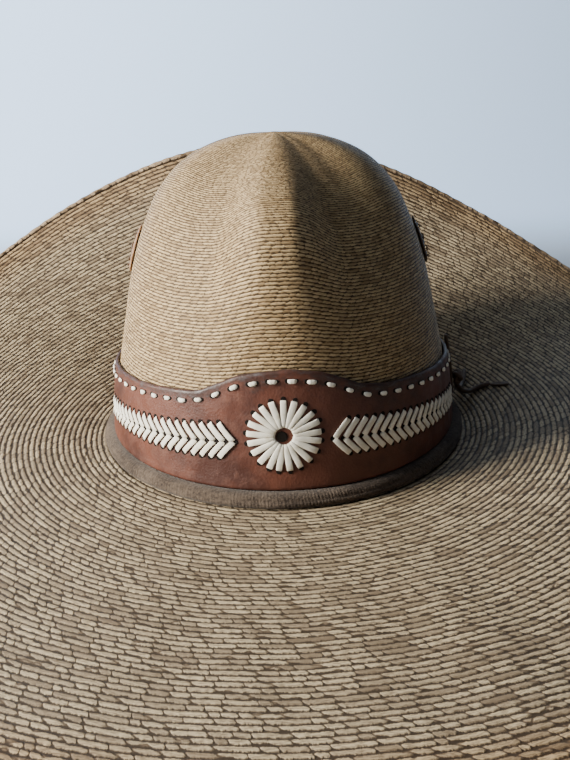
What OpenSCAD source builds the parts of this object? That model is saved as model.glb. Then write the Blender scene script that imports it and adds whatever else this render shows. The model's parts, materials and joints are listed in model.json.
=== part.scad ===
// Palm-straw sombrero with a laced leather hat band.
// Millimetres, +Z up. The origin is the middle of the head opening, level with the flat underside
// ring that the hat rests on. The front of the hat faces -Y and +X is to the right in a front view.
// The opening is an oval: angle 0 is the front, 90 is +X, 180 is the back and -90 is -X.

/* [Crown] */
// Half width of the crown at its foot
crown_half_w = 88.5; // [82:0.5:94]
// Half length of the crown at its foot, front to back
crown_half_l = 105; // [98:0.5:112]
// Height of the crown above the underside of the brim
crown_h = 154; // [140:1:165]
// Thickness of the plaited palm wall
straw_t = 2.2; // [1.8:0.1:2.6]
// Angle of the four pressed dents from the front and the back
dent_angle = 32; // [28:1:40]

/* [Brim] */
// Width of the brim measured along its surface
brim_w = 170; // [150:1:180]
// How much wider the brim is at the front
front_extra = 14; // [0:1:18]
// Width of the flat ring round the opening that the hat rests on
rest_w = 8; // [7:0.5:12]
// Rise of the brim in degrees near the crown, halfway out and at the rim: front
front_rise = [0, 1, 3]; // [0:1:20]
// The same at the sides
side_rise = [19, 0, -6]; // [-8:1:30]
// The same at the back
back_rise = [46, 54, 70]; // [30:1:75]
// How far the sweep of the back is turned from the centre line
brim_turn = 4; // [0:1:6]
// How much steeper the right side starts than the left, and flatter ends, in degrees
brim_twist = 6; // [0:1:8]
// Thickness of the folded rim row
rim_d = 4; // [3:0.5:5]

/* [Hat band] */
// Thickness of the leather
leather_t = 2; // [1.6:0.1:2.4]
// Height of the lower edge of the band
band_low = 9; // [9:0.5:12]
// Height of the upper edge at the front centre
band_front = 63; // [58:1:66]
// Height of the hump in the upper edge at the front centre
band_hump = 8; // [4:1:10]
// Height of the upper edge at the back
band_back = 31; // [28:1:36]

/* [Lacing] */
// Width of the flat thong
thong_w = 2.8; // [2:0.1:3]
// Width of the edge stitches
stitch_w = 1.9; // [1.6:0.1:2.4]
// Petals in the front rosette
petals = 21; // [17:1:25]
// Diameter of the rosette
rosette_d = 32; // [28:1:36]
// Height of the rosette's centre
rosette_z = 34; // [32:1:38]
// Chevrons on each side of the rosette
chevrons = 20; // [14:1:20]
// Stitches in the running lacing along the upper edge
edge_stitches = 64; // [48:1:64]

/* [Patches and sweatband] */
// Radius of the two leather vent patches
patch_r = 14; // [10:1:16]
// Height of the middle of the vent patches
patch_z = 98; // [90:1:104]
// Height of the sweatband
sweat_h = 42; // [32:1:44]

/* [Hidden] */

straw = "#b89b74";
straw_grey = "#9a8b75";
leather = "#7a4030";
dark_leather = "#3c241a";
ivory = "#ece4cf";
ribbon = "#6b6053";
lining = "#8a5a3a";

ring_n = 72;      // divisions round the oval
band_n = 144;     // divisions round the band, whose edge is scalloped
band_gap = 0.5;   // clearance between the crown and the band
lace_t = 0.9;     // how far the flat thong stands out from the leather
lace_gap = 0.05;  // air under the thong, so that it only rests on the leather
sweat_t = 1.2;    // thickness of the sweatband
sweat_gap = 0.4;  // clearance between the crown and the sweatband
tie_angle = 92;   // where the band's ends meet
strap_t = 1.6;    // thickness of the tie strap
knot_r = 3;       // radius of each loop of the knot
tail_d = 3;       // thickness of the tie tails
tip_angle = 99.5; // where the long tail's leaf-shaped tip lies on the brim
tip_u = 37.6;     // and how far out from the opening
tip_half = [4.2, 2.9]; // half its length and half its width
tip_t = 1.4;      // thickness of the tip
lie_gap = 0.15;   // air under what lies on the brim
strap_off = band_gap + leather_t + lace_gap + lace_t + 0.1; // the strap lies over the lacing

// Outlines of the crown from its foot to its tip: [share of the foot's radius, share of the height].
side_line = [[1, 0], [0.966, 0.23], [0.905, 0.42], [0.843, 0.585], [0.765, 0.72], [0.66, 0.84],
    [0.5, 0.93], [0.27, 0.985], [0, 1]];
ridge_line = [[1, 0], [0.965, 0.23], [0.935, 0.42], [0.912, 0.6], [0.885, 0.745], [0.76, 0.835],
    [0.52, 0.91], [0.27, 0.972], [0, 1]];
dent_line = [[1, 0], [0.965, 0.23], [0.925, 0.4], [0.857, 0.545], [0.748, 0.68], [0.63, 0.79],
    [0.475, 0.89], [0.26, 0.965], [0, 1]];
line_spans = len(side_line) - 1;

// Routes of the two tie tails, from the knot out over the brim.
long_tail = [[96, 5.8, 15.4], [98, 8.8, 12.4], [100.4, 12.6, 9.9], [103, 16.8, 8], [106, 20.6, 6.8],
    [109.2, 23.2, 7], [112.6, 24.4, 7.9], [115.6, 24.6, 8.7], [117.9, 24.4, 9.3]];
short_tail = [[95.2, 10, 20.6], [96.2, 12.6, 18.2], [97.2, 15.6, 14.8], [98.2, 19, 11.2], [99.6, 23, 8.2],
    [101.4, 27.6, 6.4], [103.2, 32.4, 6.1], [104.8, 37, 6.7], [106.2, 41.6, 7.5], [107.4, 46.2, 8.4],
    [108.4, 50.8, 9.3]];

function mix(a, b, t) = a + (b - a)*t;
function clamp01(t) = max(0, min(1, t));
function smooth(lo, hi, x) = let (t = clamp01((x - lo)/(hi - lo))) t*t*(3 - 2*t);
// Angle as -180 to 180.
function wrap(a) = a > 180 ? a - 360 : a < -180 ? a + 360 : a;

// Catmull-Rom point at s along a list whose tip is mirrored across the axis.
function tip_mirror(p) = [-p[0], p[1]];
function foot_mirror(p) = [2 - p[0], -p[1]];
function line_at(line, s) =
    let (i = min(floor(s), line_spans - 1), t = s - i,
         p0 = i == 0 ? foot_mirror(line[1]) : line[i - 1],
         p1 = line[i], p2 = line[i + 1],
         p3 = i == line_spans - 1 ? tip_mirror(line[line_spans - 1]) : line[i + 2])
    0.5*((2*p1) + (p2 - p0)*t + (2*p0 - 5*p1 + 4*p2 - p3)*t*t + (3*p1 - p0 - 3*p2 + p3)*t*t*t);

// Angle from the nearer of front and back: 0 there, 90 at the sides.
function fold(a) = asin(abs(sin(a)));
// Crown outline at angle a: the ridge in front, the dent beside it, then the round side.
function crown_line(a, s) =
    let (f = fold(a), ridge = 1 - smooth(4, dent_angle - 4, f), side = smooth(dent_angle + 4, 68, f))
    ridge*line_at(ridge_line, s) + side*line_at(side_line, s)
        + (1 - ridge - side)*line_at(dent_line, s);
function crown_table(a) = [for (i = [0:4*line_spans]) let (p = crown_line(a, i/4)) [p[1]*crown_h, p[0]]];
function crown_k(a, z) = lookup(z, crown_table(a));
function normal(a) = let (v = [crown_half_l*sin(a), -crown_half_w*cos(a)]) v/norm(v);
function oval(a, k, off) = k*[crown_half_w*sin(a), -crown_half_l*cos(a)] + off*normal(a);
// Point at angle a and height z, off outside the crown's outer surface.
function on_crown(a, z, off) = let (p = oval(a, crown_k(a, z), off)) [p[0], p[1], z];

// Value at t from three given at 0, 1/2 and 1.
function through3(v, t) = v[0]*(2*t - 1)*(t - 1) - 4*v[1]*t*(t - 1) + v[2]*t*(2*t - 1);
function back_share(a) = pow((1 - cos(a - brim_turn))/2, 6);
function front_share(a) = pow((1 + cos(a - brim_turn))/2, 2.5);
function brim_slope(a, u) =
    let (t = u/brim_w, b = back_share(a), f = front_share(a),
         rise = mix(mix(through3(side_rise, t), through3(front_rise, t), f), through3(back_rise, t), b))
    (rise + brim_twist*(1 - 2*t)*sin(a))*smooth(rest_w, rest_w + 8, u);
brim_step = brim_w/42;
// Section of the brim's underside at angle a: [distance out, height, slope] at each step. The steps
// are a little longer towards the front.
function brim_section(a) =
    let (stretch = 1 + front_extra/brim_w*front_share(a), step = brim_step*stretch)
    [for (i = 0, r = 0, z = 0, s = 0; i <= 42;
          r = r + step*cos(s), z = z + step*sin(s), i = i + 1, s = brim_slope(a, i*brim_step))
        [r, z, s]];
function brim_point(a, q, up, out = 0) =
    let (p = oval(a, 1, q[0] - up*sin(q[2]) + out*cos(q[2])))
    [p[0], p[1], q[1] + up*cos(q[2]) + out*sin(q[2])];
// Point over the brim at angle a, u out from the opening along the surface, up above the underside.
function on_brim(a, u, up) =
    let (s = brim_section(a), i = floor(u/brim_step)) brim_point(a, mix(s[i], s[i + 1], u/brim_step - i), up);

// Upper edge of the hat band.
function band_top(a) =
    let (w = abs(wrap(a))) band_front - band_hump*(1 - exp(-pow(w/20.5, 4)))
        - (band_front - band_hump - band_back)*w/180;

// Closed solid through rings of equal length, the last ring joined to the first.
module ring_solid(rings) {
    m = len(rings);
    n = len(rings[0]);
    polyhedron([for (r = rings) each r],
        [for (i = [0:m - 1], j = [0:n - 1])
            let (k = (i + 1) % m, l = (j + 1) % n, a = i*n + j, b = i*n + l, c = k*n + l, d = k*n + j)
            each [[a, b, c], [a, c, d]]]);
}

// Closed solid through rings between two end points.
module pole_solid(rings, first, last) {
    m = len(rings);
    n = len(rings[0]);
    points = concat([for (r = rings) each r], [first, last]);
    polyhedron(points, concat(
        [for (i = [0:m - 2], j = [0:n - 1])
            let (l = (j + 1) % n, a = i*n + j, b = i*n + l, c = (i + 1)*n + l, d = (i + 1)*n + j)
            each [[a, b, c], [a, c, d]]],
        [for (j = [0:n - 1]) [m*n, (j + 1) % n, j]],
        [for (j = [0:n - 1]) [m*n + 1, (m - 1)*n + j, (m - 1)*n + (j + 1) % n]]));
}

function ring_angles(n) = [for (j = [0:n - 1]) 360*j/n];

// Places a child on the crown at angle a and height z: its X runs round the crown towards +a,
// its Y up the wall and its Z straight out.
module on_wall(a, z, off) {
    p = on_crown(a, z, off);
    side = on_crown(a + 1, z, off) - on_crown(a - 1, z, off);
    up = on_crown(a, z + 2, off) - on_crown(a, z - 2, off);
    x = side/norm(side);
    out = cross(x, up)/norm(cross(x, up));
    y = cross(out, x);
    multmatrix([[x[0], y[0], out[0], p[0]], [x[1], y[1], out[1], p[1]],
        [x[2], y[2], out[2], p[2]], [0, 0, 0, 1]]) children();
}

// Flat thong of the given length and width, lying along X.
module thong(length, width = thong_w) translate([-length/2, -width/2, 0]) cube([length, width, lace_t]);

module crown() {
    outer = [for (i = [0:23]) [for (a = ring_angles(ring_n))
        let (p = crown_line(a, i/3), q = oval(a, p[0], 0)) [q[0], q[1], p[1]*crown_h]]];
    inner_steps = 16;
    inner = [for (i = [0:inner_steps - 1]) [for (a = ring_angles(ring_n))
        let (p = crown_line(a, i/2), q = oval(a, p[0], -straw_t*smooth(8, 6.5, i/2)))
        [q[0]*(1 - 0.02*smooth(5, 8, i/2)), q[1]*(1 - 0.02*smooth(5, 8, i/2)),
            p[1]*(crown_h - straw_t*smooth(2, 7, i/2))]]];
    color(straw) pole_solid(
        concat([for (i = [23:-1:0]) outer[i]], inner),
        [0, 0, crown_h], [0, 0, crown_h - straw_t]);
}

module brim() {
    steps = [0:3:42];
    under = [for (i = steps) [for (a = ring_angles(ring_n)) brim_point(a, brim_section(a)[i], 0)]];
    upper = [for (i = steps) [for (a = ring_angles(ring_n)) brim_point(a, brim_section(a)[i], straw_t)]];
    m = len(under);
    color(straw_grey) ring_solid(concat(under, [for (i = [m - 1:-1:0]) upper[i]]));
}

// Folded outer row: an eight-sided roll whose flat inner side meets the brim's edge.
module brim_rim() {
    r = rim_d/2;
    inner = r*cos(22.5) + 0.02;
    color(straw_grey) ring_solid([for (e = [7:-1:0]) [for (a = ring_angles(ring_n))
        brim_point(a, brim_section(a)[42], straw_t/2 + r*sin(45*e + 22.5), inner + r*cos(45*e + 22.5))]]);
}

// Ribbed roll round the crown's foot.
module base_roll() {
    section = [[0.4, 0], [5.6, 0], [7, 1.2], [7.4, 2.6], [6.7, 4.4], [5, 5.7], [2.8, 6.3], [0.4, 6.4]];
    color(ribbon) ring_solid([for (p = section) [for (a = ring_angles(ring_n))
        on_crown(a, p[1] + straw_t + 0.2, p[0])]]);
}

module hat_band() {
    levels = [0, 1/3, 2/3, 1];
    inner = [for (t = levels) [for (a = ring_angles(band_n))
        on_crown(a, mix(band_low, band_top(a), t), band_gap)]];
    outer = [for (t = levels) [for (a = ring_angles(band_n))
        on_crown(a, mix(band_low, band_top(a), t), band_gap + leather_t)]];
    color(leather) ring_solid(concat([for (i = [3:-1:0]) inner[i]], outer));
}

module edge_lacing() color(ivory)
    for (i = [0:edge_stitches - 1]) {
        a = 360*(i + 0.5)/edge_stitches;
        slope = atan2(band_top(a + 1) - band_top(a - 1), norm(on_crown(a + 1, 40, 0) - on_crown(a - 1, 40, 0)));
        on_wall(a, band_top(a) - 4.6, band_gap + leather_t + lace_gap) rotate(slope) thong(4.2, stitch_w);
    }

// Two arms per chevron, meeting on the band's middle line and spreading away from the rosette.
module chevron_lacing(side) color(ivory)
    for (i = [0:chevrons - 1], arm = [-1, 1]) {
        t = i/(chevrons - 1);
        reach = mix(7.7, 4.2, t);
        run = mix(4.3, 2.4, t);
        a = 14.4 + 2.95*i + run/2;
        z = mix(31, 24.8, t) + arm*(reach/2 + 0.15);
        length = norm([reach, run*1.55]) + 0.4;
        on_wall(side*a, z, band_gap + leather_t + lace_gap)
            rotate(side*arm*atan2(reach, run*1.55)) thong(length);
    }
module left_chevron_lacing() chevron_lacing(-1);
module right_chevron_lacing() chevron_lacing(1);

module front_rosette() {
    inner_r = 3.6;
    middle = (rosette_d/2 + inner_r)/2;
    color(ivory) for (i = [0:petals - 1]) {
        spoke = 90 + 360*i/petals;
        on_wall(asin(middle*cos(spoke)/(crown_half_w + leather_t)), rosette_z + middle*sin(spoke),
            band_gap + leather_t + lace_gap + 0.1)
            rotate(spoke) thong(rosette_d/2 - inner_r);
    }
}

// Scalloped leather patch that lies along the crown's side, with a lens of rings out from its middle.
module vent_patch(side) {
    n = 48;
    function edge(w) = patch_r*(1 + 0.06*cos(8*w));
    function at(w, share, off) = let (r = share*edge(w))
        on_crown(side*90 + r*cos(w)/crown_half_l*60, patch_z + r*sin(w)*0.82, off);
    low = 0.4;
    rings = [for (share = [0.5, 1]) [for (w = ring_angles(n)) at(w, share, low + 1.6)]];
    under = [for (share = [1, 0.5]) [for (w = ring_angles(n)) at(w, share, low)]];
    color(dark_leather)
        pole_solid(concat(rings, under), at(0, 0, low + 1.6), at(0, 0, low));
}
module left_vent_patch() vent_patch(-1);
module right_vent_patch() vent_patch(1);

module patch_lacing(side) color(dark_leather)
    for (i = [0:7]) {
        w = 45*i + 22.5;
        r = patch_r*0.72;
        on_wall(side*90 + r*cos(w)/crown_half_l*60, patch_z + r*sin(w)*0.82, 2.15)
            rotate(w + 90) translate([-2, -0.6, 0]) cube([4, 1.2, 0.7]);
    }
module left_patch_lacing() patch_lacing(-1);
module right_patch_lacing() patch_lacing(1);

// Strap over the join in the band, narrowing to its upper end just above the band's edge.
module band_tie_strap() color(dark_leather)
    on_wall(tie_angle, 30, strap_off)
        linear_extrude(strap_t) polygon([[-5, -16], [5, -16], [4.4, 4], [1.4, 15.5], [-1.4, 15.5], [-4.4, 4]]);

// Three loops of a small overhand knot in front of the strap.
module band_tie_knot() color(dark_leather)
    on_wall(tie_angle, 22, strap_off + strap_t + 0.3 + knot_r)
        for (q = [[-2.6, 0], [2.6, 0.8], [0, -3]])
            translate([q[0], q[1], 0]) sphere(r = knot_r, $fn = 24);

// Tube of eight sides along a route of points.
module swept_tube(route, d) {
    m = len(route);
    function dir(i) = let (v = route[min(i + 1, m - 1)] - route[max(i - 1, 0)]) v/norm(v);
    function ring(i) = let (t = dir(i), s = cross(t, [0, 0, 1]), u = s/norm(s), v = cross(u, t))
        [for (e = [0:7]) route[i] + d/2*(cos(45*e)*u + sin(45*e)*v)];
    color(dark_leather) pole_solid([for (i = [0:m - 1]) ring(i)], route[0], route[m - 1]);
}
module long_tie_tail() swept_tube(long_tail, tail_d);
module short_tie_tail() swept_tube(short_tail, tail_d);

// Leaf-shaped end of the long tail, lying on the brim.
module tail_tip() {
    function at(w, share, up) =
        let (along = share*tip_half[0]*cos(w), across = share*tip_half[1]*sin(w))
        on_brim(tip_angle - 0.27*along + 0.4*across, tip_u + along, straw_t + lie_gap + up);
    color(dark_leather) pole_solid(
        [[for (w = ring_angles(16)) at(w, 1, tip_t)], [for (w = ring_angles(16)) at(w, 1, 0)]],
        at(0, 0, tip_t), at(0, 0, 0));
}

module sweatband() {
    levels = [1.2, sweat_h/2, sweat_h];
    outer = [for (z = levels) [for (a = ring_angles(ring_n)) on_crown(a, z, -straw_t - sweat_gap)]];
    inner = [for (z = levels) [for (a = ring_angles(ring_n)) on_crown(a, z, -straw_t - sweat_gap - sweat_t)]];
    color(lining) ring_solid(concat([for (i = [2:-1:0]) inner[i]], outer));
}

module sweatband_stitching() {
    count = 90;
    color(ivory) for (i = [0:count - 1])
        on_wall(360*(i + 0.5)/count, 4.5, -straw_t - sweat_gap - sweat_t - 0.65)
            translate([-2, -0.4, 0]) cube([4, 0.8, 0.5]);
}

// Small ribbon bow over the sweatband's back seam.
module sweatband_bow() color(ribbon)
    on_wall(180, 10, -straw_t - sweat_gap - sweat_t - 2.3) {
        for (s = [-1, 1])
            linear_extrude(1.2) polygon([[s*1.5, -1.2], [s*9, -3.2], [s*9, 3.2], [s*1.5, 1.2]]);
        translate([-1.5, -1.8, -0.4]) cube([3, 3.6, 1.6]);
    }

crown();
brim();
brim_rim();
base_roll();
hat_band();
edge_lacing();
left_chevron_lacing();
right_chevron_lacing();
front_rosette();
left_vent_patch();
right_vent_patch();
left_patch_lacing();
right_patch_lacing();
band_tie_strap();
band_tie_knot();
long_tie_tail();
tail_tip();
short_tie_tail();
sweatband();
sweatband_stitching();
sweatband_bow();
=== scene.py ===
# A palm-straw sombrero with a laced leather hat band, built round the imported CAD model.
# Shapes are worked out in millimetres in the CAD model's frame, and add_mesh turns them into metres.
# Angle 0 is the front of the hat (-Y), 90 is +X, 180 the back. Angles are in degrees.
import json
import math

import bpy
import numpy as np
from mathutils import Matrix, Vector
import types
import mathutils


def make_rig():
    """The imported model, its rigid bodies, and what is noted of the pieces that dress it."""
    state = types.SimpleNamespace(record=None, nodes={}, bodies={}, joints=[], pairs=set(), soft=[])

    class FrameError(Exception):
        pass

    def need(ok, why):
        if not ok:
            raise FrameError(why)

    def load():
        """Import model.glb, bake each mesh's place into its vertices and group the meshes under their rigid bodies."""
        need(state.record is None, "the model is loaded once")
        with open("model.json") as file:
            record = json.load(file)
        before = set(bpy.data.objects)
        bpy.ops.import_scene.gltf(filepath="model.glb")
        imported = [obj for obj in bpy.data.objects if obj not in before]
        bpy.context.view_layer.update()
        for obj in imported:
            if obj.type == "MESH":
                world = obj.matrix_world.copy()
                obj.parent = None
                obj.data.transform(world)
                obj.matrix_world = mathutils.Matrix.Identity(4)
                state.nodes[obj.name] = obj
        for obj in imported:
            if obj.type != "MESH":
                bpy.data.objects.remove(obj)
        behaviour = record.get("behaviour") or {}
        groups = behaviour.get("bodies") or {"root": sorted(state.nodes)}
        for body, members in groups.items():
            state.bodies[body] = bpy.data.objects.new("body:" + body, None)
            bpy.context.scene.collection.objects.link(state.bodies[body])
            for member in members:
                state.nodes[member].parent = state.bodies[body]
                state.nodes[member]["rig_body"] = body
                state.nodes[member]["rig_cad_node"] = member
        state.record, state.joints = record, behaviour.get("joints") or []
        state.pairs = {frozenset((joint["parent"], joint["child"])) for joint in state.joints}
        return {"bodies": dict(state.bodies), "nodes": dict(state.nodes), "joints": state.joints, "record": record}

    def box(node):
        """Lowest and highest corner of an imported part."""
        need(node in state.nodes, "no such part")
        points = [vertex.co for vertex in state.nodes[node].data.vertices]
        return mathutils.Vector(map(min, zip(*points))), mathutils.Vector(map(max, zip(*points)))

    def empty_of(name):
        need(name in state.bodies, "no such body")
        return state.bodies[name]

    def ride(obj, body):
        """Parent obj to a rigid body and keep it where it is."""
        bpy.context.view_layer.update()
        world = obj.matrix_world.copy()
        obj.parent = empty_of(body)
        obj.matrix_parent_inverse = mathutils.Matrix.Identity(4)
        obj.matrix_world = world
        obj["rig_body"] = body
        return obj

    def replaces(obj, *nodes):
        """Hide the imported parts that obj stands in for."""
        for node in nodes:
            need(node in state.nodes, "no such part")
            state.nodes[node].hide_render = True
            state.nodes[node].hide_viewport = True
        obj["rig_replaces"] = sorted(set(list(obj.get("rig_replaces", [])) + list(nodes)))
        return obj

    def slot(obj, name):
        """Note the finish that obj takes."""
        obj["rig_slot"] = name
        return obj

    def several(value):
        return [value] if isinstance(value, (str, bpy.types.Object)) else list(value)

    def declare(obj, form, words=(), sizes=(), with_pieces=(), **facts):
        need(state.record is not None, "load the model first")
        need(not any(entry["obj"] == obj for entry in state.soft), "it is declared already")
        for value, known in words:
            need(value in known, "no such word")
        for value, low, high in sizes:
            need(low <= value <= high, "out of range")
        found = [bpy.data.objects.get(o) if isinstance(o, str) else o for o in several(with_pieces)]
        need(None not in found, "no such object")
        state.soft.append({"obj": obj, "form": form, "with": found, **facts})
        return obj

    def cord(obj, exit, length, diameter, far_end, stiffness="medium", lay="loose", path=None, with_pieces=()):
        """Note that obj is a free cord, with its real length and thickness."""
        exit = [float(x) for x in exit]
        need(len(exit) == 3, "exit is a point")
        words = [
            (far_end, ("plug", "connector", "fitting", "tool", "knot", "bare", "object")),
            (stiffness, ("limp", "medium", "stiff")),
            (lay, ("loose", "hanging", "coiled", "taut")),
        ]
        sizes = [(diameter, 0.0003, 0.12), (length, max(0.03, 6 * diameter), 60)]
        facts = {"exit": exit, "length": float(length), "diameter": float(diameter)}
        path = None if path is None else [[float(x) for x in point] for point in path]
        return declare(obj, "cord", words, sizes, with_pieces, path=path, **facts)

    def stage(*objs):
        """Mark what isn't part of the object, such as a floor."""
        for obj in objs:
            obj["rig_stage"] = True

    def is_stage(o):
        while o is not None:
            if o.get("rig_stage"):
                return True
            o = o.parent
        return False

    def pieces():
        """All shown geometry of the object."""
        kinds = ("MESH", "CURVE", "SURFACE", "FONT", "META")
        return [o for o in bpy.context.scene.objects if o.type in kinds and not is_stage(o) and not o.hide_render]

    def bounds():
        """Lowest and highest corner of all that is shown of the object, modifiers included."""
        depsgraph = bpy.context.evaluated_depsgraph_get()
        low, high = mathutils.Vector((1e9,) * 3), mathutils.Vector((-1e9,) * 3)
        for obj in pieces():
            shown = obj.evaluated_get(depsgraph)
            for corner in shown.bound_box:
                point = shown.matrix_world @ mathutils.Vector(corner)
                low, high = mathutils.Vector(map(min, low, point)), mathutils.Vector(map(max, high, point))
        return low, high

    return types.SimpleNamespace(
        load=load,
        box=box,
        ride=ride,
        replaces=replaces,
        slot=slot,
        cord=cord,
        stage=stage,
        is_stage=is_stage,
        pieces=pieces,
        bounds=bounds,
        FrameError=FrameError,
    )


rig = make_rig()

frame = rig.load()
cad_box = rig.bounds()
MM = 0.001


def node_high(node):
    """Highest corner of a CAD node, in millimetres."""
    return [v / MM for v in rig.box(node)[1]]


# Sizes that repeat the CAD model's.
HALF_W, HALF_L, CROWN_H = node_high("crown")
STRAW_T = 2.2
BRIM_W = 170.0
REST_W = 8.0
FRONT_RISE, SIDE_RISE, BACK_RISE = (0, 1, 3), (19, 0, -6), (46, 54, 70)
BRIM_TURN, BRIM_TWIST, FRONT_EXTRA = 4.0, 6.0, 14.0
DENT_ANGLE = 32.0
RIM_D = 4.0
BAND_GAP, LEATHER_T, BAND_LOW = 0.5, 2.0, 9.0
BAND_FRONT, BAND_HUMP, BAND_BACK = 63.0, 8.0, 31.0
LEATHER_OFF = BAND_GAP + LEATHER_T
THONG_W, STITCH_W, LACE_T = 2.8, 1.9, 0.9
PETALS, ROSETTE_R, ROSETTE_HOLE, ROSETTE_Z = 21, 16.0, 3.6, 34.0
CHEVRONS, EDGE_STITCHES = 20, 64
PATCH_R, PATCH_Z = 14.0, 98.0
SWEAT_H, SWEAT_OFF, SWEAT_T = 42.0, -2.6, 1.2
TIE_ANGLE, STRAP_T, KNOT_R, TAIL_D = 92.0, 1.6, 3.0, 3.0
STRAP_OFF = LEATHER_OFF + 0.05 + LACE_T + 0.1
TIP_ANGLE, TIP_U, TIP_HALF_L, TIP_HALF_W = 99.5, 37.6, 4.2, 2.9
LIE_GAP = 0.15

SIDE_LINE = ((1, 0), (0.966, 0.23), (0.905, 0.42), (0.843, 0.585), (0.765, 0.72), (0.66, 0.84),
             (0.5, 0.93), (0.27, 0.985), (0, 1))
RIDGE_LINE = ((1, 0), (0.965, 0.23), (0.935, 0.42), (0.912, 0.6), (0.885, 0.745), (0.76, 0.835),
              (0.52, 0.91), (0.27, 0.972), (0, 1))
DENT_LINE = ((1, 0), (0.965, 0.23), (0.925, 0.4), (0.857, 0.545), (0.748, 0.68), (0.63, 0.79),
             (0.475, 0.89), (0.26, 0.965), (0, 1))
LONG_TAIL = ((96, 5.8, 15.4), (98, 8.8, 12.4), (100.4, 12.6, 9.9), (103, 16.8, 8), (106, 20.6, 6.8),
             (109.2, 23.2, 7), (112.6, 24.4, 7.9), (115.6, 24.6, 8.7), (117.9, 24.4, 9.3))
SHORT_TAIL = ((95.2, 10, 20.6), (96.2, 12.6, 18.2), (97.2, 15.6, 14.8), (98.2, 19, 11.2), (99.6, 23, 8.2),
              (101.4, 27.6, 6.4), (103.2, 32.4, 6.1), (104.8, 37, 6.7), (106.2, 41.6, 7.5),
              (107.4, 46.2, 8.4), (108.4, 50.8, 9.3))

# Pitch of the plaited rows and length of one plait, and how much finer the crown's rows are at the top.
CROWN_PITCH, CROWN_PLAIT, CROWN_FINER = 1.7, 5.0, 0.35
BRIM_PITCH, BRIM_PLAIT = 2.75, 8.5


# ---------------------------------------------------------------- shape of the hat

def smooth(lo, hi, x):
    t = np.clip((x - lo) / (hi - lo), 0, 1)
    return t * t * (3 - 2 * t)


def mix(a, b, t):
    return a + (b - a) * t


def sin(a):
    return np.sin(np.radians(a))


def cos(a):
    return np.cos(np.radians(a))


def unit(v):
    return v / np.linalg.norm(v, axis=-1, keepdims=True)


def catmull_rom(p, count):
    """Curve through every point of p but the first and the last, which only steer its ends."""
    spans = len(p) - 3
    s = np.linspace(0, spans, count)
    i = np.minimum(s.astype(int), spans - 1)
    t = (s - i)[:, None]
    a, b, c, d = p[i], p[i + 1], p[i + 2], p[i + 3]
    return 0.5 * (2 * b + (c - a) * t + (2 * a - 5 * b + 4 * c - d) * t**2 + (3 * b - a - 3 * c + d) * t**3)


def dense_line(line, count=241):
    """Smooth crown outline, steered by its points mirrored at the foot and at the tip."""
    p = np.array(line, float)
    return catmull_rom(np.vstack([[2 - p[1, 0], -p[1, 1]], p, [-p[-2, 0], p[-2, 1]]]), count)


SIDE, RIDGE, DENT = dense_line(SIDE_LINE), dense_line(RIDGE_LINE), dense_line(DENT_LINE)


def crown_columns(a):
    """Outline of the crown at each angle: arrays of share of radius and height, foot to tip."""
    f = np.degrees(np.arcsin(np.abs(sin(a)).clip(0, 1)))
    ridge = (1 - smooth(4, DENT_ANGLE - 4, f))[:, None, None]
    side = smooth(DENT_ANGLE + 4, 68, f)[:, None, None]
    p = ridge * RIDGE + side * SIDE + (1 - ridge - side) * DENT
    return p[..., 0], p[..., 1] * CROWN_H


FOLDS = np.linspace(0, 90, 91)
LEVEL_STEPS = 308
LEVELS = np.linspace(0, CROWN_H, LEVEL_STEPS + 1)
K_TABLE = np.array([np.interp(LEVELS, z, k) for k, z in zip(*crown_columns(FOLDS))])


def crown_k(a, z):
    """Share of the foot's radius at angle a and height z."""
    f = np.degrees(np.arcsin(np.abs(sin(a)).clip(0, 1)))
    i = np.minimum(f.astype(int), 89)
    j = np.clip(z / CROWN_H, 0, 0.99999) * LEVEL_STEPS
    n, s, t = j.astype(int), j - j.astype(int), f - i
    low, high = mix(K_TABLE[i, n], K_TABLE[i, n + 1], s), mix(K_TABLE[i + 1, n], K_TABLE[i + 1, n + 1], s)
    return mix(low, high, t)


def oval(a, k, off):
    n = unit(np.stack([HALF_L * sin(a), -HALF_W * cos(a)], -1))
    return np.stack([k * HALF_W * sin(a), -k * HALF_L * cos(a)], -1) + np.asarray(off)[..., None] * n


def on_crown(a, z, off):
    """Point at angle a and height z, off outside the crown's surface."""
    a, z, off = np.broadcast_arrays(*(np.asarray(v, float) for v in (a, z, off)))
    p = oval(a, crown_k(a, z), off)
    return np.concatenate([p, z[..., None]], -1)


def through3(v, t):
    """Parabola through three values, at t = 0, a half and 1."""
    return v[0] * (2 * t - 1) * (t - 1) - 4 * v[1] * t * (t - 1) + v[2] * t * (2 * t - 1)


def front_share(a):
    """How much of the front's shape the brim has at angle a."""
    return ((1 + cos(a - BRIM_TURN)) / 2) ** 2.5


def brim_slope(a, u):
    """Slope of the brim at angle a and u along its width, in degrees."""
    t = u / BRIM_W
    back = ((1 - cos(a - BRIM_TURN)) / 2) ** 6
    rise = mix(through3(SIDE_RISE, t), through3(FRONT_RISE, t), front_share(a))
    rise = mix(rise, through3(BACK_RISE, t), back)
    return (rise + BRIM_TWIST * (1 - 2 * t) * sin(a)) * smooth(REST_W, REST_W + 8, u)


BRIM_STEPS = 168


def brim_sections():
    """Distance out, height and slope of the brim's underside at every degree, at each step of its width.
    The steps are a little longer towards the front."""
    a = np.arange(361.0)
    step = BRIM_W / BRIM_STEPS * (1 + FRONT_EXTRA / BRIM_W * front_share(a))
    r, z, s = np.zeros(361), np.zeros(361), np.zeros(361)
    rows = []
    for i in range(BRIM_STEPS + 1):
        rows.append(np.stack([r, z, s], -1))
        r, z, s = r + step * cos(s), z + step * sin(s), brim_slope(a, (i + 1) * BRIM_W / BRIM_STEPS)
    return np.stack(rows, 1)


SECTIONS = brim_sections()


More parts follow.
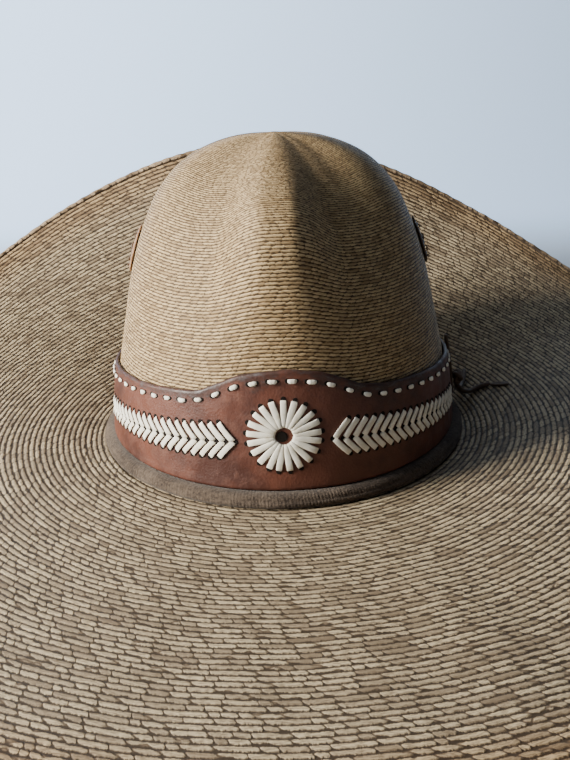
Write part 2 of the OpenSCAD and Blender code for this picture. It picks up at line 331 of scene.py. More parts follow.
def on_brim(a, u, up, out=0.0):
    """Point at angle a and u along the brim's width, up above its underside and out past it along the slope."""
    a, u, up, out = np.broadcast_arrays(*(np.asarray(v, float) for v in (a, u, up, out)))
    turn = a % 360
    i = np.minimum(turn.astype(int), 359)
    j = np.clip(u / BRIM_W, 0, 0.99999) * BRIM_STEPS
    n, s, t = j.astype(int), (j - j.astype(int))[..., None], (turn - i)[..., None]
    here, onward = mix(SECTIONS[i, n], SECTIONS[i, n + 1], s), mix(SECTIONS[i + 1, n], SECTIONS[i + 1, n + 1], s)
    away, height, slope = np.moveaxis(mix(here, onward, t), -1, 0)
    p = oval(a, 1.0, away - up * sin(slope) + out * cos(slope))
    return np.concatenate([p, (height + up * cos(slope) + out * sin(slope))[..., None]], -1)


def band_top(a):
    """Height of the band's upper edge: a hump in front, then a straight fall to the back."""
    w = np.abs((np.asarray(a, float) + 180) % 360 - 180)
    hump = BAND_HUMP * np.exp(-((w / 20.5) ** 4))
    return BAND_FRONT - BAND_HUMP + hump - (BAND_FRONT - BAND_HUMP - BAND_BACK) * w / 180


def mm_per_degree(a, z):
    """Length of one degree round the crown."""
    share = crown_k(np.asarray(a, float), np.asarray(z, float))
    return np.hypot(HALF_W * cos(a), HALF_L * sin(a)) * share * math.pi / 180


def wander(a, waves, seed):
    """Smooth waviness round the hat, about -1 to 1, made of a few whole waves."""
    rng = np.random.default_rng(seed)
    parts = [np.cos(np.radians(a) * n + rng.uniform(0, 6.3)) * rng.uniform(0.5, 1) for n in waves]
    return sum(parts) / len(waves)


# ---------------------------------------------------------------- meshes

class Builder:
    """Gathers closed pieces into one mesh."""

    def __init__(self):
        self.points, self.faces, self.count = [], [], 0

    def add(self, points, faces):
        self.points.append(np.asarray(points, float).reshape(-1, 3))
        self.faces.extend(tuple(i + self.count for i in f) for f in faces)
        self.count += len(self.points[-1])

    def tube(self, rings):
        """Closed solid through rings of equal length, capped by a fan at each end."""
        rings = np.asarray(rings, float)
        m, n = rings.shape[:2]
        faces = []
        for i in range(m - 1):
            for j in range(n):
                k = (j + 1) % n
                faces.append((i * n + j, i * n + k, (i + 1) * n + k, (i + 1) * n + j))
        for j in range(n):
            faces.append((m * n, (j + 1) % n, j))
            faces.append((m * n + 1, (m - 1) * n + j, (m - 1) * n + (j + 1) % n))
        self.add(np.vstack([rings.reshape(-1, 3), rings[0].mean(0), rings[-1].mean(0)]), faces)

    def loop(self, rings):
        """Closed solid through rings of equal length, the last ring joined to the first."""
        m, n = np.shape(rings)[:2]
        faces = []
        for i in range(m):
            k = (i + 1) % m
            faces += [(i * n + j, i * n + (j + 1) % n, k * n + (j + 1) % n, k * n + j) for j in range(n)]
        self.add(rings, faces)

    def make(self, name, material):
        return add_mesh(name, np.vstack(self.points), self.faces, material)


def add_mesh(name, points, faces, material, uv_name=None, uvs=None):
    """Smooth-shaded object from points in millimetres and faces."""
    mesh = bpy.data.meshes.new(name)
    mesh.from_pydata((points * MM).tolist(), [], faces)
    if uv_name:
        layer = mesh.uv_layers.new(name=uv_name)
        layer.data.foreach_set("uv", np.asarray(uvs, np.float32).ravel())
    mesh.materials.append(material)
    mesh.shade_smooth()
    mesh.validate()
    obj = bpy.data.objects.new(name, mesh)
    bpy.context.collection.objects.link(obj)
    return obj


def settle(obj, body, node, slot):
    """Fix a finished piece to its body, in place of its CAD node if it has one, under its slot's name."""
    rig.ride(obj, body)
    if node:
        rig.replaces(obj, node)
    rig.slot(obj, slot)
    return obj


def ring_mesh(name, rings, material, uv_name, across, along):
    """Mesh round the hat through closed rings, the last ring joined to the first.
    across is each ring's place across the rows. along is each strip's length at every column."""
    m, n = rings.shape[:2]
    i, j = np.meshgrid(np.arange(m), np.arange(n), indexing="ij")
    k, beside = (i + 1) % m, (j + 1) % n
    faces = np.stack([i * n + j, i * n + beside, k * n + beside, k * n + j], -1).reshape(-1, 4).tolist()
    u0, u1 = along[:, :-1], along[:, 1:]
    v0 = np.broadcast_to(np.asarray(across[0])[:, None], (m, n))
    v1 = np.broadcast_to(np.asarray(across[1])[:, None], (m, n))
    uvs = np.stack([np.stack([u0, v0], -1), np.stack([u1, v0], -1), np.stack([u1, v1], -1),
                    np.stack([u0, v1], -1)], 2)
    return add_mesh(name, rings.reshape(-1, 3), faces, material, uv_name, uvs.reshape(-1, 2))


def around(columns):
    """Angles of the columns of a ring mesh, starting at the back of the hat."""
    return 180 + np.arange(columns) * 360 / columns


def ring_lengths(ring):
    """Length round a closed ring of points at every column, and the whole length at the end."""
    steps = np.linalg.norm(np.roll(ring, -1, 0) - ring, axis=-1)
    return np.concatenate([[0], np.cumsum(steps)])


def pushed(rings, heights):
    """Rings moved out along their own surface by heights."""
    du = np.roll(rings, -1, 1) - np.roll(rings, 1, 1)
    dv = np.gradient(rings, axis=0)
    n = unit(np.cross(du, dv))
    return rings + n * heights[..., None]


def plait_relief(rows):
    """Height of a plaited row: round over its width, with a groove on each side."""
    return np.abs(np.sin(np.pi * rows)) ** 0.85


def strip_along(rings, across):
    """Length along each strip between rings, taken on the first ring of the row it is in."""
    rows = np.floor((across[0] + across[1]) / 2 + 1e-6)
    first = {r: i for i, r in reversed(list(enumerate(rows)))}
    return np.array([ring_lengths(rings[first[r]]) for r in rows])


# ---------------------------------------------------------------- materials

class Look:
    """A material built from procedural nodes on a Principled shader."""

    def __init__(self, name, roughness=0.5, specular=0.35, sheen=0.0):
        self.material = bpy.data.materials.new(name)
        self.material.use_nodes = True
        self.tree = self.material.node_tree
        self.shader = self.tree.nodes["Principled BSDF"]
        self.shader.inputs["Roughness"].default_value = roughness
        self.shader.inputs["Specular IOR Level"].default_value = specular
        self.shader.inputs["Sheen Weight"].default_value = sheen

    def node(self, kind, inputs, out=0, **settings):
        n = self.tree.nodes.new("ShaderNode" + kind)
        for key, value in settings.items():
            setattr(n, key, value)
        for key, value in inputs.items():
            if isinstance(value, bpy.types.NodeSocket):
                self.tree.links.new(value, n.inputs[key])
            else:
                n.inputs[key].default_value = value
        return n.outputs[out]

    def math(self, operation, *values):
        return self.node("Math", dict(enumerate(values)), operation=operation)

    def ramp(self, value, lo, hi, out_lo=0.0, out_hi=1.0):
        return self.node("MapRange", {0: value, 1: lo, 2: hi, 3: out_lo, 4: out_hi},
                         interpolation_type="SMOOTHSTEP")

    def vector(self, x, y, z=0.0):
        return self.node("CombineXYZ", {0: x, 1: y, 2: z})

    def noise(self, vector, scale, detail=2.0, rough=0.5):
        return self.node("TexNoise", {"Vector": vector, "Scale": scale, "Detail": detail, "Roughness": rough})

    def object_place(self):
        return self.node("TexCoord", {}, out=3)

    def colour(self, factor, a, b, blend="MIX"):
        n = self.tree.nodes.new("ShaderNodeMix")
        n.data_type, n.blend_type = "RGBA", blend
        for socket, value in zip((n.inputs[0], n.inputs[6], n.inputs[7]), (factor, a, b)):
            if isinstance(value, bpy.types.NodeSocket):
                self.tree.links.new(value, socket)
            else:
                socket.default_value = value if isinstance(value, float) else (*value, 1)
        return n.outputs[2]

    def bump(self, height, distance):
        return self.node("Bump", {"Height": height, "Distance": distance, "Strength": 1.0})

    def set(self, socket, value):
        self.tree.links.new(value, self.shader.inputs[socket])


def straw_look(name, plait, pitch, light, mid, shade, gap_and_groove_shade, points, parting, rust=None, rust_row=0.0):
    """Plaited palm. Every row of the UV map "braid" is a chain of slanted strands, each with its own tone.
    A strand is palest along its middle, a painted highlight, and darkens towards its edges and the slanted parting
    before the next, painted shade down to the gap colour; it narrows by points to that parting.
    rust reddens the rows from rust_row outwards."""
    look = Look(name, 0.6, 0.25)
    uv = look.node("SeparateXYZ", {0: look.node("UVMap", {}, uv_map="braid")}).node
    u, v = uv.outputs[0], uv.outputs[1]
    row = look.math("FLOOR", v)
    row_noise = look.node("TexWhiteNoise", {"W": row}, noise_dimensions="1D")
    sway = look.noise(look.vector(look.math("MULTIPLY", u, 0.09), look.math("MULTIPLY", row, 7.31)), 1.0, 1.0)
    nick_place = look.vector(look.math("MULTIPLY", u, 0.8), look.math("MULTIPLY", row, 3.17))
    nick = look.noise(nick_place, 1.0, 3.0, 0.7)
    across = look.math("ADD", look.math("FRACT", v), look.math("MULTIPLY_ADD", nick, 0.5, -0.25))
    lean = look.math("MULTIPLY_ADD", across, pitch * -1.1, look.math("MULTIPLY", sway, plait * 3.0))
    chain = look.math("DIVIDE", look.math("ADD", look.math("MULTIPLY_ADD", row_noise, 97.0, u), lean), plait)
    strand = look.math("FLOOR", chain)
    along = look.math("FRACT", chain)
    chance = look.node("TexWhiteNoise", {"Vector": look.vector(strand, row)}, noise_dimensions="2D")
    tint = look.node("TexWhiteNoise", {"Vector": look.vector(strand, row, 3.0)}, noise_dimensions="3D")
    fibre_place = look.vector(look.math("MULTIPLY", u, 0.35), look.math("MULTIPLY", v, 5.0))
    fibre = look.noise(fibre_place, 1.0, 3.0, 0.7)
    fleck_place = look.vector(look.math("MULTIPLY", u, 0.6), look.math("MULTIPLY", v, 1.6))
    fleck = look.noise(fleck_place, 1.0, 4.0, 0.75)
    stain = look.noise(look.object_place(), 14.0, 4.0, 0.6)
    from_end = look.math("SUBTRACT", 0.5, look.math("ABSOLUTE", look.math("SUBTRACT", along, 0.5)))
    from_side = look.math("SUBTRACT", 0.5, look.math("ABSOLUTE", look.math("SUBTRACT", across, 0.5)))
    narrowed = look.ramp(from_end, 0.0, 0.24, points, 0.0)
    inside = look.math("SUBTRACT", from_side, narrowed)
    inside = look.math("ADD", inside, look.math("MULTIPLY_ADD", fleck, 0.3, -0.15))
    parted = look.ramp(look.math("MULTIPLY_ADD", fleck, -0.04, from_end), -0.01, 0.075, 1.0 - parting, 1.0)
    body = look.math("MULTIPLY", look.ramp(inside, 0.0, 0.3), parted)
    tone = look.math("MULTIPLY_ADD", stain, 0.5, look.math("MULTIPLY_ADD", chance, 0.8, -0.45))
    tone = look.math("MULTIPLY_ADD", fleck, 0.8, tone)
    # Painted highlight: the strand's tone is raised along its middle, where a rounded strand catches the light.
    tone = look.math("MULTIPLY_ADD", body, 0.45, look.math("SUBTRACT", tone, 0.35))
    straw = look.colour(look.ramp(tone, 0.1, 0.85), mid, light)
    straw = look.colour(look.math("MULTIPLY", look.ramp(tint, 0.65, 1.0), 0.6), straw, shade)
    straw = look.colour(look.ramp(fibre, 0.34, 0.62, 0.75, 0.0), straw, shade)
    # Painted shade: towards the strand's edges and partings its colour falls through shade to the gap colour, darkest
    # in the grooves between strands and rows.
    under = look.colour(look.ramp(body, 0.0, 0.35), gap_and_groove_shade, shade)
    colour = look.colour(look.ramp(body, 0.2, 0.85), under, straw)
    if rust:
        outward = look.math("MULTIPLY_ADD", stain, 2.5, v)
        share = look.math("MULTIPLY", look.ramp(outward, rust_row, rust_row + 9), 0.7)
        colour = look.colour(share, colour, rust, "MULTIPLY")
    look.set("Base Color", colour)
    raised = look.math("MULTIPLY", body, look.math("MULTIPLY_ADD", chance, 0.35, 0.65))
    height = look.math("MULTIPLY_ADD", fibre, 0.25, raised)
    look.set("Normal", look.bump(height, pitch * 0.15 * MM))
    return look.material


def leather_look(name, base, dark, worn, scuffed=False):
    """Leather with mottled colour and fine grain. scuffed greys it along the upper edge of the band."""
    look = Look(name, 0.5, 0.4)
    place = look.object_place()
    clouds = look.noise(place, 24.0, 5.0, 0.65)
    small = look.noise(place, 170.0, 4.0, 0.6)
    colour = look.colour(look.ramp(clouds, 0.38, 0.6), dark, base)
    colour = look.colour(look.ramp(small, 0.5, 0.78, 0.0, 0.45), colour, worn)
    if scuffed:
        uv = look.node("SeparateXYZ", {0: look.node("UVMap", {}, uv_map="band")}).node
        round_hat, below_edge = uv.outputs[0], uv.outputs[1]
        place_on = look.vector(look.math("MULTIPLY", round_hat, 0.07), look.math("MULTIPLY", below_edge, 0.16))
        edge = look.noise(place_on, 1.0, 5.0, 0.75)
        reach = look.math("MULTIPLY_ADD", edge, 34.0, look.math("MULTIPLY", below_edge, -1.0))
        colour = look.colour(look.ramp(reach, 10.0, 17.0, 0.0, 0.7), colour, (0.034, 0.02, 0.017))
        pale = look.noise(place_on, 3.0, 4.0, 0.7)
        greyed = look.math("MULTIPLY", look.ramp(reach, 11.0, 17.0), look.ramp(pale, 0.48, 0.66, 0.0, 0.8))
        colour = look.colour(greyed, colour, (0.085, 0.07, 0.072))
    look.set("Base Color", colour)
    look.set("Roughness", look.ramp(small, 0.3, 0.7, 0.42, 0.62))
    grain = look.node("TexVoronoi", {"Vector": place, "Scale": 900.0})
    height = look.math("MULTIPLY_ADD", small, 1.2, look.math("MULTIPLY", grain, 0.6))
    look.set("Normal", look.bump(height, 0.14 * MM))
    return look.material


def cloth_look(name, light, dark, scale):
    """Fuzzy cloth: fine fibres over a dark ground, worn paler in patches."""
    look = Look(name, 0.85, 0.15, 0.15)
    place = look.object_place()
    fibres = look.noise(place, scale, 3.0, 0.8)
    patches = look.noise(place, 45.0, 4.0, 0.6)
    tone = look.math("MULTIPLY_ADD", patches, 0.7, look.math("MULTIPLY", fibres, 0.9))
    look.set("Base Color", look.colour(look.ramp(tone, 0.55, 1.05), dark, light))
    look.set("Normal", look.bump(fibres, 0.5 * MM))
    return look.material


def thong_look(name, light, dark):
    """Smooth flat thong with faint streaks."""
    look = Look(name, 0.5)
    place = look.object_place()
    marks = look.noise(place, 260.0, 4.0, 0.6)
    look.set("Base Color", look.colour(look.ramp(marks, 0.42, 0.8), light, dark))
    look.set("Normal", look.bump(marks, 0.12 * MM))
    return look.material


def plain_look(name, colour, roughness):
    """One colour with faint marks."""
    look = Look(name, roughness, 0.2)
    marks = look.noise(look.object_place(), 300.0, 2.0)
    look.set("Base Color", look.colour(marks, colour, tuple(c * 0.6 for c in colour)))
    return look.material


CROWN_STRAW = straw_look("crown_straw", CROWN_PLAIT, CROWN_PITCH, (0.63, 0.455, 0.245), (0.37, 0.25, 0.125),
                         (0.19, 0.118, 0.054), (0.055, 0.032, 0.014), 0.17, 0.35)
BRIM_STRAW = straw_look("brim_straw", BRIM_PLAIT, BRIM_PITCH, (0.56, 0.45, 0.285), (0.255, 0.193, 0.125),
                        (0.135, 0.096, 0.061), (0.045, 0.031, 0.019), 0.15, 0.75, (0.82, 0.66, 0.5),
                        BRIM_W / BRIM_PITCH - 10)
RIM_STRAW = straw_look("rim_straw", 7.0, 3.0, (0.42, 0.31, 0.2), (0.25, 0.17, 0.1), (0.12, 0.077, 0.042),
                       (0.04, 0.025, 0.014), 0.2, 0.7)
BAND_LEATHER = leather_look("band_leather", (0.122, 0.04, 0.024), (0.055, 0.018, 0.012), (0.17, 0.07, 0.045),
                            scuffed=True)
DARK_LEATHER = leather_look("dark_leather", (0.115, 0.068, 0.04), (0.06, 0.034, 0.021), (0.2, 0.125, 0.08))
TAN_LEATHER = leather_look("lining_leather", (0.33, 0.19, 0.105), (0.22, 0.12, 0.065), (0.42, 0.27, 0.16))
IVORY = thong_look("ivory_thong", (0.88, 0.84, 0.73), (0.72, 0.65, 0.5))
RIBBON = cloth_look("ribbed_ribbon", (0.12, 0.088, 0.064), (0.027, 0.018, 0.013), 700.0)
BOW = cloth_look("bow_ribbon", (0.12, 0.07, 0.05), (0.04, 0.025, 0.02), 500.0)
THREAD = thong_look("thread", (0.7, 0.62, 0.48), (0.5, 0.42, 0.3))
# Near-black painted shade that stands in for the dark inside of the punched holes.
HOLE_SHADE = plain_look("punched_hole", (0.012, 0.008, 0.006), 0.9)

# ---------------------------------------------------------------- camera

# Focal length in millimetres, sideways shift as a share of the sensor, place in metres, turns in radians.
LENS, SHIFT = 44.479, 0.00368
CAMERA_PLACE = (0, -0.479, 0.188)
LOOK_DOWN, ROLL = 0.33, -0.033


def make_camera():
    data = bpy.data.cameras.new("camera")
    data.lens = LENS
    data.shift_x = SHIFT
    data.clip_start, data.clip_end = 0.01, 50
    camera = bpy.data.objects.new("camera", data)
    turn = Matrix.Rotation(math.pi / 2 - LOOK_DOWN, 4, "X") @ Matrix.Rotation(ROLL, 4, "Z")
    camera.matrix_world = Matrix.Translation(CAMERA_PLACE) @ turn
    bpy.context.collection.objects.link(camera)
    bpy.context.scene.camera = camera


make_camera()


# ---------------------------------------------------------------- tie tails

def smooth_route(points, count):
    """Evenly spaced points on a smooth curve through a route, and the curve's length."""
    p = np.array(points, float)
    q = catmull_rom(np.vstack([2 * p[0] - p[1], p, 2 * p[-1] - p[-2]]), 400)
    length = np.concatenate([[0], np.cumsum(np.linalg.norm(np.diff(q, axis=0), axis=1))])
    even = np.linspace(0, length[-1], count)
    return np.stack([np.interp(even, length, q[:, k]) for k in range(3)], 1), length[-1]


def tail(name, node, route):
    """Cut leather thong along its route, its edges a little worn and its end rounded."""
    path, length = smooth_route(route, 40)
    forward = unit(np.gradient(path, axis=0))
    side = unit(np.cross(forward, (0, 0, 1)))
    up = np.cross(side, forward)
    turn = np.arange(0, 360, 22.5)
    wide, tall = cos(turn)[:, None], 0.86 * (np.abs(sin(turn)) ** 0.8 * np.sign(sin(turn)))[:, None]
    rings = []
    for i, p in enumerate(path):
        from_end = min(i, len(path) - 1 - i) / 2.0
        r = TAIL_D / 2 * min(1.0, 0.62 + 0.38 * from_end) * (1 + 0.02 * math.sin(i * 1.7))
        rings.append(p + r * (wide * side[i] + tall * up[i]))
    work = Builder()
    work.tube(rings)
    obj = settle(work.make(name, DARK_LEATHER), "band", node, "dark_leather")
    return obj, [tuple(p * MM) for p in path], length * MM


def tail_tip():
    """Leaf-shaped end of the long tail, thin at its edge, with a short stem towards the tail."""
    work = Builder()
    turn = np.arange(0, 360, 11.25)
    upper, under = [], []
    for share, low, high in ((0.12, 0, 0.85), (0.5, 0, 1.3), (0.85, 0, 1.15), (1.0, 0.15, 0.75)):
        along = share * (TIP_HALF_L * cos(turn) - 0.8 * np.maximum(0, -cos(turn)) ** 8)
        across = share * TIP_HALF_W * sin(turn) * (1 - 0.25 * cos(turn))
        a, u = TIP_ANGLE - 0.27 * along + 0.4 * across, TIP_U + along
        upper.append(on_brim(a, u, STRAW_T + LIE_GAP + high))
        under.insert(0, on_brim(a, u, STRAW_T + LIE_GAP + low))
    work.tube(upper + under)
    return settle(work.make("long_tail_leaf_tip", DARK_LEATHER), "band", "tail_tip", "dark_leather")


TIP = tail_tip()
for tail_name, tail_node, tail_route, on_it in (("long_tie_tail_thong", "long_tie_tail", LONG_TAIL, [TIP]),
                                                ("short_tie_tail_thong", "short_tie_tail", SHORT_TAIL, [])):
    thong, thong_path, thong_length = tail(tail_name, tail_node, tail_route)
    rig.cord(thong, exit=thong_path[0], length=thong_length, diameter=TAIL_D * MM, far_end="bare",
            stiffness="medium", lay="loose", path=thong_path, with_pieces=on_it)


# ---------------------------------------------------------------- straw

def crown():
    columns = 240
    a = around(columns)
    k, z = crown_columns(a)
    curve = np.concatenate([oval(a[:, None], k, np.zeros_like(k)), z[..., None]], -1)
    steps = np.linalg.norm(np.diff(curve, axis=1), axis=-1)
    length = np.concatenate([np.zeros((columns, 1)), np.cumsum(steps, 1)], 1)
    whole = length[:, -1:]
    longest = float(whole.max())
    # Rows are level near the foot and draw together into rings round the tip.
    place = length + (longest - whole) * smooth(0, 1, length / whole)

    def upper_half(along):
        return smooth(0.5, 0.8, along / longest)

    # The rows get finer over the upper half.
    s = np.linspace(0, longest, 2001)
    pitch = CROWN_PITCH * (1 - CROWN_FINER * upper_half(s))
    row_at = np.concatenate([[0], np.cumsum(np.diff(s) / pitch[1:])])
    rows = int(row_at[-1])
    row_at *= rows / row_at[-1]
    marks = np.concatenate([np.arange(rows * 3) / 3, [rows - 0.03]])
    places = np.interp(marks, row_at, s)
    rings = np.empty((len(marks), columns, 3))
    for c in range(columns):
        for axis in range(3):
            rings[:, c, axis] = np.interp(places, place[c], curve[c, :, axis])
    fade = smooth(0, 3, marks) * smooth(rows, rows - 3, marks)
    height = (0.38 * (1 - 0.5 * upper_half(places)) * plait_relief(marks) - 0.5) * fade
    waves = 0.25 * wander(a, (7, 13, 19), 3)[None, :] * (fade * smooth(0, 30, marks))[:, None]
    outer = pushed(rings, height[:, None] + waves)
    inner_marks = np.linspace(len(marks) - 1, 0, 60).astype(int)
    deep = -STRAW_T * np.ones(rings.shape[:2]) * smooth(-6, 4, rows - marks)[:, None]
    inner = pushed(rings, deep)[inner_marks]
    inner[-1, :, 2] = 0
    whole_rings = np.vstack([outer, inner])
    v = np.concatenate([marks, marks[inner_marks]])
    across = (v, np.roll(v, -1))
    finer = 1 / (1 - CROWN_FINER * upper_half(places))
    strips = strip_along(whole_rings, across) * np.concatenate([finer, finer[inner_marks]])[:, None]
    obj = ring_mesh("crown_plaits", whole_rings, CROWN_STRAW, "braid", across, strips)
    settle(obj, "hat", "crown", "crown_straw")


def slow_wave(a):
    """Waves of the brim's outer part."""
    return 0.8 * wander(a, (9, 14, 23), 5)


def quick_wave(a):
    return 0.35 * wander(a, (31, 37), 6)


def brim():
    columns = 432
    a = around(columns)
    rows = int(BRIM_W / BRIM_PITCH)
    marks = np.arange(rows * 4 + 1) / 4
    u = marks * BRIM_W / rows
    fade = smooth(REST_W, REST_W + 12, u)[:, None]
    outer_waves = slow_wave(a)[None, :] * (u / BRIM_W)[:, None]
    lift = fade * (outer_waves + quick_wave(a)[None, :] * smooth(40, 90, u)[:, None])
    top = on_brim(a[None, :], u[:, None], STRAW_T + lift - 0.25 + 0.3 * plait_relief(marks)[:, None])
    low_marks = np.arange(rows * 2, -1, -1) / 2
    low_u = low_marks * BRIM_W / rows
    low_fade = smooth(REST_W, REST_W + 12, low_u)[:, None]
    low_lift = low_fade * (slow_wave(a)[None, :] * (low_u / BRIM_W)[:, None])
    grooves = 0.35 * (1 - plait_relief(low_marks)[:, None]) * low_fade
    bottom = on_brim(a[None, :], low_u[:, None], low_lift + grooves)
    rings = np.vstack([top, bottom])[::-1]
    v = np.concatenate([marks, low_marks])[::-1]
    across = (v, np.roll(v, -1))
    obj = ring_mesh("brim_plaits", rings, BRIM_STRAW, "braid", across, strip_along(rings, across))
    settle(obj, "hat", "brim", "brim_straw")


def rim():
    """Folded outer row: a thick roll with the marks of its whipping."""
    columns = 1080
    a = around(columns)
    whipped = RIM_D / 2 * (1 + 0.1 * np.sin(np.radians(a * 180)))
    middle = STRAW_T / 2 + slow_wave(a) + quick_wave(a)
    turns = np.arange(0, 360, 30)[::-1]
    rings = np.array([on_brim(a, BRIM_W, middle + whipped * sin(t), RIM_D / 2 * 0.86 + whipped * cos(t) * 0.98)
                      for t in turns])
    v = (turns / 180.0)[::-1]
    across = (v, np.append(v[1:], v[-1] + 30 / 180))
    obj = ring_mesh("brim_rim_fold", rings, RIM_STRAW, "braid", across, strip_along(rings, across))
    settle(obj, "hat", "brim_rim", "rim_straw")


def base_roll():
    """Ribbed cloth folded into a roll round the crown's foot."""
    section = ((0.4, 0), (3, 0), (5.6, 0), (6.9, 0.9), (7.35, 2.2), (7.1, 3.1), (6.55, 3.3), (6.6, 4.2),
               (5.9, 5.3), (4.4, 6.1), (2.6, 6.35), (0.4, 6.4))
    ribs, per_rib = 400, 4
    columns = ribs * per_rib
    a = around(columns)
    rng = np.random.default_rng(8)
    swell = np.repeat(rng.uniform(0.5, 1.0, ribs), per_rib)
    rings = []
    for i, (off, up) in enumerate(section):
        rib = np.cos(np.radians(a * ribs) + i * 0.55) * 0.5 - 0.5
        depth = 0.0 if off < 1 or up == 0 else 0.2
        fold = 0.35 * wander(a, (11, 17, 29), 12 + i // 4) * (1 if depth else 0)
        grow = depth * rib * swell + np.minimum(fold, 0)
        rings.append(on_crown(a, STRAW_T + 0.2 + up + 0.5 * grow * (up > 3), off + grow))
    rings = np.array(rings)
    n = len(section)
    across = (np.arange(n, dtype=float), np.arange(1, n + 1, dtype=float))
    obj = ring_mesh("base_roll_ribbed_cloth", rings, RIBBON, "braid", across, strip_along(rings, across))
    settle(obj, "hat", "base_roll", "ribbed_ribbon")


# ---------------------------------------------------------------- hat band

def hat_band():
    """Leather band with rounded edges, an uneven upper edge and slight dents."""
    columns = 360
    tall = 48.0
    a = around(columns)
    top = band_top(a) - 0.35 + 0.35 * wander(a, (17, 29, 43), 21)
    shares = np.concatenate([[0, 0.6, 1.6], np.linspace(4, 46, 16), [tall - 1.4, tall - 0.5, tall]]) / tall
    edge = np.concatenate([[-0.7, -0.15, 0], np.zeros(16), [0, -0.12, -0.6]])
    outer, inner, depth = [], [], []
    for i, (t, e) in enumerate(zip(shares, edge)):
        z = mix(BAND_LOW, top, t)
        waves = 0.18 * (wander(a, (13, 22, 34), 30 + i // 5) - 1) * smooth(0, 0.1, t) * smooth(1, 0.9, t)
        outer.append(on_crown(a, z, LEATHER_OFF + e + waves))
        inner.append(on_crown(a, z, BAND_GAP + 0.15 * abs(e)))
        depth.append((1 - t) * tall)
    rings = np.array(outer + inner[::-1])
    v = np.array(depth + depth[::-1])
    along = np.tile(ring_lengths(rings[10]), (len(rings), 1))
    obj = ring_mesh("hat_band_leather", rings, BAND_LEATHER, "band", (v, np.roll(v, -1)), along)
    settle(obj, "band", "hat_band", "band_leather")


def on_leather(a0, z0, x, y, off):
    """Point x round and y up from (a0, z0) on the band, off above the leather."""
    z = z0 + y
    return on_crown(a0 + x / mm_per_degree(a0, z), z, LEATHER_OFF + off)


def add_strip(work, a0, z0, angle, length, width, rise, bow=0.0, narrow=None, base=0.05, square=True):
    """Flat thong lying on the leather: its middle is at (a0, z0), it runs at an angle, and its ends dive into
    holes. Its ends are cut square unless square is off."""
    near = np.array([0, 0.15, 0.45, 0.95])
    half = length / 2
    middle = np.linspace(near[-1] - half, half - near[-1], 5)[1:-1]
    stations = np.concatenate([near - half, middle, (half - near)[::-1]]) / half
    turn = np.arange(0, 360, 30)
    flat = 0.35 if square else 0.75
    section_x = np.sign(np.round(cos(turn), 6)) * np.abs(cos(turn)) ** flat
    section_y = np.sign(np.round(sin(turn), 6)) * np.abs(sin(turn)) ** (0.5 if square else 0.8)
    c, s = math.cos(math.radians(angle)), math.sin(math.radians(angle))
    rings = []
    for t in stations:
        inside = (1 - abs(t)) * half
        if square:
            shape = min(1.0, 0.86 + 0.5 * inside)
        else:
            shape = math.sqrt(min(1.0, 0.2 + inside / 1.1))
        w = width * shape * (narrow(t) if narrow else 1.0)
        height = base + rise / 2 * min(1.0, 0.2 + 0.9 * inside)
        thick = rise / 2 * min(1.0, 0.45 + 0.7 * inside)
        x = t * half
        y = bow * (1 - t * t)
        y = y + section_x * w / 2
        rings.append(on_leather(a0, z0, x * c - y * s, x * s + y * c, height + thick * section_y))
    work.tube(np.array(rings)[:, ::-1])


def add_hole(work, a0, z0, x, y, radius):
    """Punched hole: a shallow pit in a low lip, which the near-black painted shade of its material makes look deep."""
    turn = np.arange(0, 360, 30)
    rings = []
    for share, off in ((0.55, 0.04), (0.8, 0.08), (1.0, 0.05), (1.0, -0.13), (0.3, -0.13)):
        r = radius * share
        rings.append(on_leather(a0, z0, x + r * cos(turn), y + r * sin(turn), off))
    work.tube(rings)


def band_piece(work, name, node, material, slot):
    settle(work.make(name, material), "band", node, slot)


# The holes of all the lacing, gathered as it is made.
holes = Builder()


def edge_lacing():
    """Running stitch along the upper edge, without the stitch that the tie strap hides."""
    rng = np.random.default_rng(40)
    work = Builder()
    for i in range(EDGE_STITCHES):
        a = 360 * (i + 0.5) / EDGE_STITCHES
        if abs((a - TIE_ANGLE + 180) % 360 - 180) < 3.0:
            continue
        z = float(band_top(a)) - 4.6
        slope = np.degrees(np.arctan2(band_top(a + 1) - band_top(a - 1), 2 * mm_per_degree(a, 40.0)))
        tilt = float(slope) + rng.uniform(-7, 7)
        length = 3.9 * rng.uniform(0.9, 1.04)
        width = STITCH_W * rng.uniform(0.95, 1.08)
        add_strip(work, a, z, tilt, length, width, LACE_T, bow=rng.uniform(-0.15, 0.15), square=False)
        c, s = math.cos(math.radians(tilt)), math.sin(math.radians(tilt))
        for end in (-1, 1):
            reach = end * (length / 2 + (0.15 if end < 0 else -0.1))
            add_hole(holes, a, z, reach * c, reach * s, 1.05 if end < 0 else 0.8)
    band_piece(work, "edge_lacing_thongs", "edge_lacing", IVORY, "ivory_thong")


def chevron_lacing(side, name, node):
    """Chevrons of two arms each. They point at the rosette and get smaller away from it."""
    rng = np.random.default_rng(50 + side)
    work = Builder()
    for i in range(CHEVRONS):
        t = i / (CHEVRONS - 1)
        reach, run = mix(7.7, 4.2, t), mix(4.3, 2.4, t)
        for arm in (-1, 1):
            a = side * (14.4 + 2.95 * i + run / 2)
            z = mix(31, 24.8, t) + arm * (reach / 2 + 0.15)
            angle = side * arm * math.degrees(math.atan2(reach, run * 1.55))
            length = math.hypot(reach, run * 1.55) - 0.1
            tilt = angle + rng.uniform(-2, 2)
            width = THONG_W * rng.uniform(0.84, 0.94)
            add_strip(work, a, z, tilt, length, width, LACE_T * 0.85, bow=0.25 * arm * side,
                      base=0.13 if arm > 0 else 0.05)
            out = side * (length / 2 + 0.35)
            c, s = math.cos(math.radians(tilt)), math.sin(math.radians(tilt))
            add_hole(holes, a, z, out * c, out * s, 1.15)
            if arm > 0:
                add_hole(holes, a, z, -out * c - side * 0.55, -out * s - 0.15, 1.15)
    band_piece(work, name, node, IVORY, "ivory_thong")


